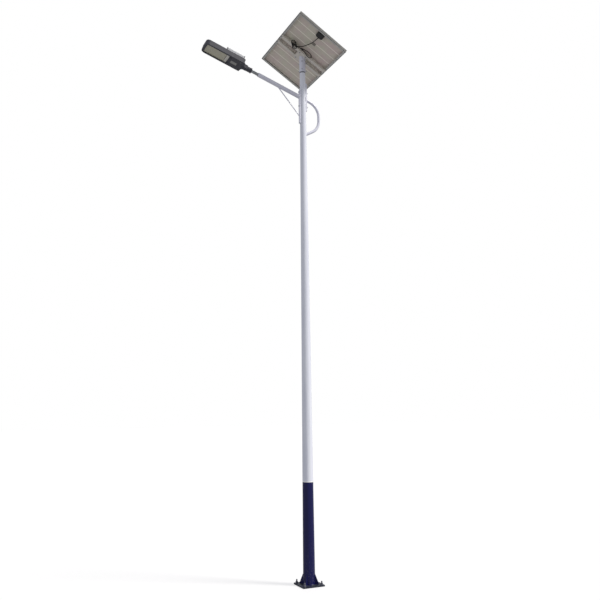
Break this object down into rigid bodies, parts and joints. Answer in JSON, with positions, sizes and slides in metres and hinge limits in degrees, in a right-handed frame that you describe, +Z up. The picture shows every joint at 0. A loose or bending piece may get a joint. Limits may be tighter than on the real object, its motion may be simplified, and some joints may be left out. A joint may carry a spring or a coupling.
{
  "type": "solar street lamp",
  "caption": "Tapered steel pole with a tilted solar panel on a swivelling sleeve, and a side arm that carries an LED lamp head with a battery box on its roof.",
  "frame": {"origin": "centre of the base plate's underside, on the axis of its cable bore", "axes": "+Z up the pole, -X along the lamp arm, +X the way the panel slopes down, +Y across"},
  "size_m": [1.5336, 1.135, 6.2682],
  "materials": {
    "anodised_frame": "satin anodised",
    "backsheet_film": "matte polymer film",
    "battery_silver": "brushed anodised",
    "black_plastic": "moulded",
    "board_green": "solder mask",
    "board_white": "white solder mask on aluminium",
    "cable_rubber": "extruded jacket",
    "cell_wrap": "shrink wrap",
    "galvanised": "hot dip zinc",
    "label_film": "blank film",
    "lamp_grey": "dark grey powder coat",
    "led_phosphor": "yellow phosphor",
    "lens_clear": "toughened glass",
    "plate_steel": "dark enamel worn to grey steel at the edges",
    "pole_navy": "navy gloss enamel",
    "pole_white": "white powder coat over zinc",
    "screw_steel": "stainless",
    "seal_rubber": "silicone",
    "silicon": "blue black silicon",
    "silver_key": "mill finish",
    "solar_glass": "low iron glass",
    "zinc_fastener": "zinc plated"
  },
  "bodies": {
    "pole": {"base_plate": "plate_steel", "base_gussets": "pole_navy", "anchor_bolts": "galvanised", "anchor_washers": "galvanised", "anchor_nuts": "galvanised", "pole_shaft": "pole_white", "arm_post_front": "pole_white", "arm_post_back": "pole_white", "post_bolts": "zinc_fastener", "post_nuts": "zinc_fastener", "lamp_arm": "pole_white", "arm_spigot": "galvanised", "stay_rod": "pole_white", "tail_tube": "pole_white"},
    "panel_head": {"sleeve_tube": "pole_white", "sleeve_nuts": "pole_white", "sleeve_set_bolts": "zinc_fastener", "head_plate": "galvanised", "rail_near": "galvanised", "rail_far": "galvanised", "frame_bolts": "zinc_fastener", "head_bolts": "zinc_fastener", "bracket_nuts": "zinc_fastener", "frame_near": "anodised_frame", "frame_far": "anodised_frame", "frame_high": "anodised_frame", "frame_low": "anodised_frame", "corner_keys": "silver_key", "backsheet": "backsheet_film", "panel_glass": "solar_glass", "solar_cells": "silicon", "panel_label": "label_film", "junction_box": "black_plastic", "junction_lid": "black_plastic", "bypass_diodes": "black_plastic", "cable_gland": "black_plastic", "cable_feed": "cable_rubber", "cable_coil": "cable_rubber", "cable_lead": "cable_rubber", "cable_tie": "black_plastic", "cable_grommet": "seal_rubber"},
    "lamp_head": {"lamp_housing": "lamp_grey", "lens_plate": "lens_clear", "lens_gasket": "seal_rubber", "lens_screws": "screw_steel", "led_board": "board_white", "led_chips": "led_phosphor", "clamp_screws": "screw_steel", "hinge_pins": "screw_steel", "charge_controller": "black_plastic", "battery_case": "battery_silver", "battery_screws": "screw_steel", "battery_caps": "lamp_grey", "cap_screws": "screw_steel", "battery_cells": "cell_wrap", "battery_board": "board_green"},
    "driver_door": {"driver_door": "lamp_grey", "door_seal": "seal_rubber", "door_screws": "screw_steel", "door_label": "label_film"}
  },
  "joints": [
    {"name": "panel_swivel", "type": "hinge", "parent": "pole", "child": "panel_head", "pos_m": [0, 0, 5.9], "axis": [0, 0, 1], "range_deg": [-180, 180]},
    {"name": "lamp_roll", "type": "hinge", "parent": "pole", "child": "lamp_head", "pos_m": [-0.69498, 0, 5.74884], "axis": [-0.9494, 0, 0.314], "range_deg": [-90, 90]},
    {"name": "driver_door_hinge", "type": "hinge", "parent": "lamp_head", "child": "driver_door", "pos_m": [-0.93696, 0, 5.8038], "axis": [0, 1, 0], "range_deg": [0, 85]}
  ]
}
